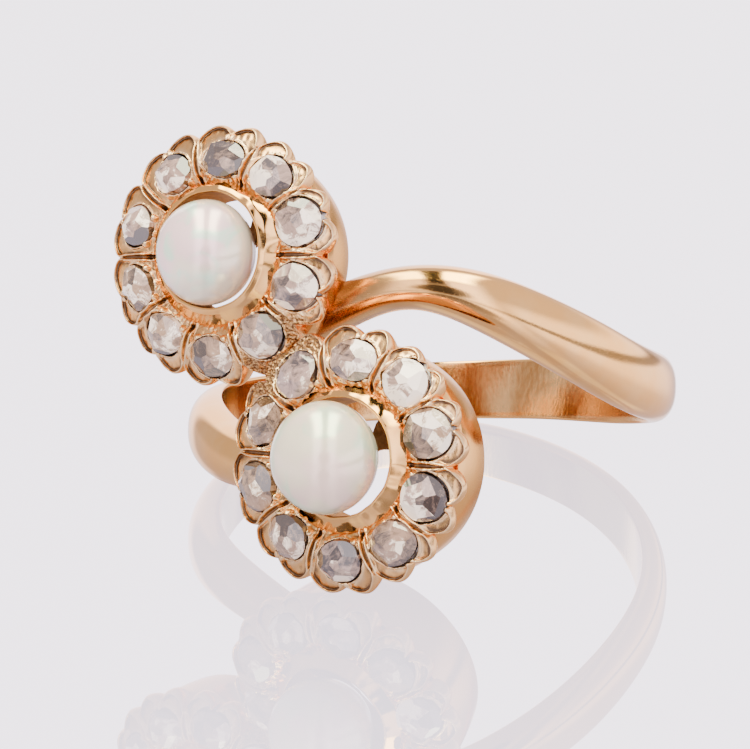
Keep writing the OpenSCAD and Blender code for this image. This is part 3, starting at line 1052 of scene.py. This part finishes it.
def table_top():
    """A pale glossy sheet lit from within, which mirrors what stands on it; its own light, as the ring
    mirrors it, is dimmed in a band through the ring's place as painted shade.
    """
    mesh = bpy.data.meshes.new("table")
    ends = (-1, -1), (1, -1), (1, 1), (-1, 1)
    mesh.from_pydata([(x * TABLE_HALF, y * TABLE_HALF, 0) for x, y in ends], [], [(0, 1, 2, 3)])
    made = in_scene("table", mesh)
    material = bpy.data.materials.new("pale_acrylic")
    node_tree_of(material).nodes.clear()
    seen = camera_ray()
    # Painted shade: the table's light, as the ring mirrors it, is dimmed in a band through the ring's
    # place
    aside = along(object_place(), TENT_RIGHT).abs()
    lit = GLOW_SHADED_NEAR + (GLOW_FAR - GLOW_SHADED_NEAR) * aside.between(0.006, 0.028)
    strength = lit * (1.0 - seen) + BACKGROUND * seen
    glow = Val.node("ShaderNodeEmission", Color=TABLE_TINT, Strength=strength)
    mirror = Val.node("ShaderNodeBsdfGlossy", Color=(1, 1, 1), Roughness=0.015)
    grazing = Val(Val.node("ShaderNodeLayerWeight", Blend=0.5).outputs["Facing"])
    both = Val.node("ShaderNodeMixShader", i0=0.03 + 0.97 * grazing ** 1.75,
                    i1=glow.outputs[0], i2=mirror.outputs[0])
    Val.node("ShaderNodeOutputMaterial", Surface=both.outputs[0])
    mesh.materials.append(material)


def studio():
    """A light tent of cloth with a bright sheet behind the ring, a wing at its right,
    warm lamps overhead and strips in front on both sides of a dark slit, a dark seam
    low at the right, and the dark mouth that the camera looks through."""
    world = bpy.data.worlds.new("studio")
    bpy.context.scene.world = world
    background = node_tree_of(world).nodes["Background"]
    way = Val.node("ShaderNodeTexCoord").outputs["Generated"]
    right, front, up = (along(way, axis) for axis in (TENT_RIGHT, TENT_FRONT, (0, 0, 1)))
    side = right.abs()

    cloth = 0.9 + 0.55 * right.between(-0.6, 0.9)
    sheet = right.between(-0.58, -0.42) * right.between(0.3, 0.2)
    sheet = (BACKGROUND - 1.1) * sheet * front.between(-0.5, -0.7) * up.between(0.6, 0.5)
    wing = 1.5 * right.between(0.35, 0.65) * up.between(0.45, 0.2)
    lamps = 12.0 * side.between(0.07, 0.12) * side.between(0.42, 0.28) * up.between(0.6, 0.8)
    lamps = lamps * front.between(-0.65, -0.35) * front.between(0.6, 0.35)
    strips = 2.6 * side.between(0.08, 0.16) * side.between(0.5, 0.3) * up.between(-0.05, 0.15)
    strips = strips * up.between(0.95, 0.7) * front.between(0.1, 0.4)

    slit = side.between(0.11, 0.06) * front.between(-0.6, -0.4) * (0.12 + 0.88 * up.between(0.4, 0.7))
    seam = up.between(0.09, 0.03) * up.between(-0.02, 0.0) * right.between(0.3, 0.55)
    mouth = along(way, TENT_MOUTH).between(0.955, 0.985)
    tent = cloth + sheet + wing + strips + lamps
    tent = tent * (1.0 - 0.97 * slit) * (1.0 - 0.8 * seam) * (1.0 - 0.9 * mouth)
    seen = camera_ray()
    warm = lamps.between(0.0, 4.0) * (1.0 - seen)
    Val.feed(background.inputs["Strength"], tent * (1.0 - seen) + BACKGROUND * seen)
    Val.feed(background.inputs["Color"], blended(warm, TENT_TINT, LAMP_TINT))


def fill_light():
    """A broad soft light over the camera that only matt and milky surfaces show."""
    data = bpy.data.lights.new("fill", "AREA")
    data.shape = "RECTANGLE"
    data.size, data.size_y = 0.26, 0.2
    data.energy = FILL_POWER
    data.color = (1, 0.97, 0.94)
    made = in_scene("fill", data)
    made.location = FILL_AT * MM
    made.rotation_mode = "QUATERNION"
    made.rotation_quaternion = (-made.location).to_track_quat("-Z", "Y")
    made.visible_glossy = False


camera()
table_top()
studio()
fill_light()

polished = polished_gold("polished_gold", EDGE_PALE)
satin = polished_gold("satin_gold", EDGE_GOLD)
brushed, engraved, hollow = brushed_gold(), engraved_gold(), hollow_gold()
white_skin = pearl_skin("white_pearl", *WHITE_NACRE)
cream_skin = pearl_skin("cream_pearl", *CREAM_NACRE)
glass = diamond_glass()

shank(polished, brushed)
for cluster in CLUSTERS:
    gallery(cluster, satin)
    collar(cluster, satin, hollow)
    pearl_mount(cluster, hollow)
    petals(cluster, engraved)
    for i in range(STONES):
        rose(cluster, i, glass)
pearl(UPPER, white_skin, "white_pearl")
pearl(LOWER, cream_skin, "cream_pearl")
